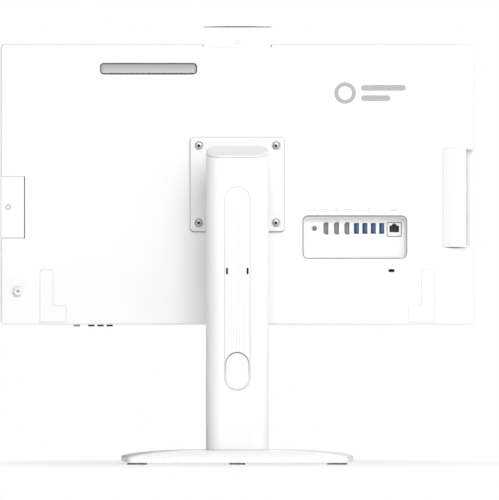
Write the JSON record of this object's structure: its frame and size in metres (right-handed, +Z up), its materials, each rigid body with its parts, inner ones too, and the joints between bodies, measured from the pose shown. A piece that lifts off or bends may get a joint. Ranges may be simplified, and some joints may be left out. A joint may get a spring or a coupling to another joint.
{
  "type": "all in one pc",
  "caption": "All-in-one desktop computer on a height-adjustable, tilting and swivelling stand, with a pop-up camera and a side-loading drive.",
  "frame": {"origin": "on the desk, under the middle of the bounding box", "axes": "+Z up, the screen faces -Y and the back faces +Y, X runs along the width of the display"},
  "size_m": [0.614, 0.22, 0.5677],
  "materials": {
    "white_shell": "fine satin moulded ABS, white",
    "base_white": "white powder coat, satin",
    "grey_plastic": "grey moulded plastic",
    "black_plastic": "black moulded plastic",
    "screen": "dark screen, low gloss",
    "steel": "plated steel",
    "aluminium": "die-cast or extruded aluminium, satin",
    "rubber": "dark grey rubber",
    "circuit_board": "green solder mask",
    "port_metal": "stamped connector shell",
    "port_blue": "blue connector plastic"
  },
  "bodies": {
    "base": {"base_plate": "base_white", "foot_pad_rear_left": "rubber", "foot_pad_rear_centre": "rubber", "foot_pad_rear_right": "rubber", "foot_pad_front_left": "rubber", "foot_pad_front_right": "rubber"},
    "column": {"column_shell": "white_shell", "column_cap": "white_shell", "column_inlay": "white_shell", "cable_grommet": "white_shell", "column_foot": "aluminium", "swivel_bolt": "steel", "rail_left": "steel", "rail_right": "steel"},
    "carriage": {"carriage": "aluminium", "tilt_pin": "steel"},
    "spring_drum": {"lift_spring": "steel"},
    "display": {"vesa_plate": "base_white", "vesa_screw_1": "steel", "vesa_screw_2": "steel", "vesa_screw_3": "steel", "vesa_screw_4": "steel", "tilt_bracket": "steel", "rear_cover": "white_shell", "front_bezel": "white_shell", "lcd_panel": "screen", "chassis": "steel", "vent_grille": "grey_plastic", "port_bay": "white_shell", "video_port_1": "port_metal", "video_port_2": "port_metal", "video_port_3": "port_metal", "usb_port_1": "port_blue", "usb_port_2": "port_blue", "usb_port_3": "port_blue", "usb_port_4": "port_blue", "network_port": "port_metal", "power_jack": "port_metal", "side_port_hood": "white_shell", "side_usb_a_port": "port_blue", "side_usb_c_port": "port_metal", "side_audio_jack": "black_plastic", "lower_cover_left": "white_shell", "lower_cover_right": "white_shell", "thumb_screw": "steel", "mainboard": "circuit_board", "memory_module": "circuit_board", "heatsink": "aluminium", "fan_housing": "black_plastic", "speaker_left": "black_plastic", "speaker_right": "black_plastic"},
    "camera": {"webcam_housing": "white_shell", "webcam_face": "black_plastic"},
    "drive_tray": {"drive_caddy": "white_shell", "drive": "aluminium"},
    "impeller": {"fan_impeller": "black_plastic"},
    "key_power": {"power_button": "grey_plastic"},
    "key_menu_1": {"menu_button_1": "black_plastic"},
    "key_menu_2": {"menu_button_2": "black_plastic"},
    "key_menu_3": {"menu_button_3": "black_plastic"}
  },
  "joints": [
    {"name": "swivel", "type": "hinge", "parent": "base", "child": "column", "pos_m": [0, 0.066, 0.0186], "axis": [0, 0, 1], "range_deg": [-30, 30]},
    {"name": "lift", "type": "slide", "parent": "column", "child": "carriage", "axis": [0, 0, 1], "range_m": [-0.11, 0]},
    {"name": "spring_turn", "type": "hinge", "parent": "carriage", "child": "spring_drum", "pos_m": [0, 0.066, 0.305], "axis": [1, 0, 0], "range_deg": [-631, 10]},
    {"name": "tilt", "type": "hinge", "parent": "carriage", "child": "display", "pos_m": [0, 0.02, 0.362], "axis": [-1, 0, 0], "range_deg": [-5, 20]},
    {"name": "camera_lift", "type": "slide", "parent": "display", "child": "camera", "axis": [0, 0, 1], "range_m": [-0.0235, 0]},
    {"name": "drive_slide", "type": "slide", "parent": "display", "child": "drive_tray", "axis": [1, 0, 0], "range_m": [0, 0.105]},
    {"name": "fan_spin", "type": "hinge", "parent": "display", "child": "impeller", "pos_m": [0.115, -0.0285, 0.44], "axis": [0, 1, 0], "continuous": true},
    {"name": "power_press", "type": "slide", "parent": "display", "child": "key_power", "axis": [0, 0, 1], "range_m": [0, 0.001], "stiffness_N_per_m": 900},
    {"name": "menu_1_press", "type": "slide", "parent": "display", "child": "key_menu_1", "axis": [0, 0, 1], "range_m": [0, 0.001], "stiffness_N_per_m": 900},
    {"name": "menu_2_press", "type": "slide", "parent": "display", "child": "key_menu_2", "axis": [0, 0, 1], "range_m": [0, 0.001], "stiffness_N_per_m": 900},
    {"name": "menu_3_press", "type": "slide", "parent": "display", "child": "key_menu_3", "axis": [0, 0, 1], "range_m": [0, 0.001], "stiffness_N_per_m": 900}
  ],
  "couplings": [
    {"joint": "spring_turn", "follows": "lift", "rad_per_m": 100}
  ]
}
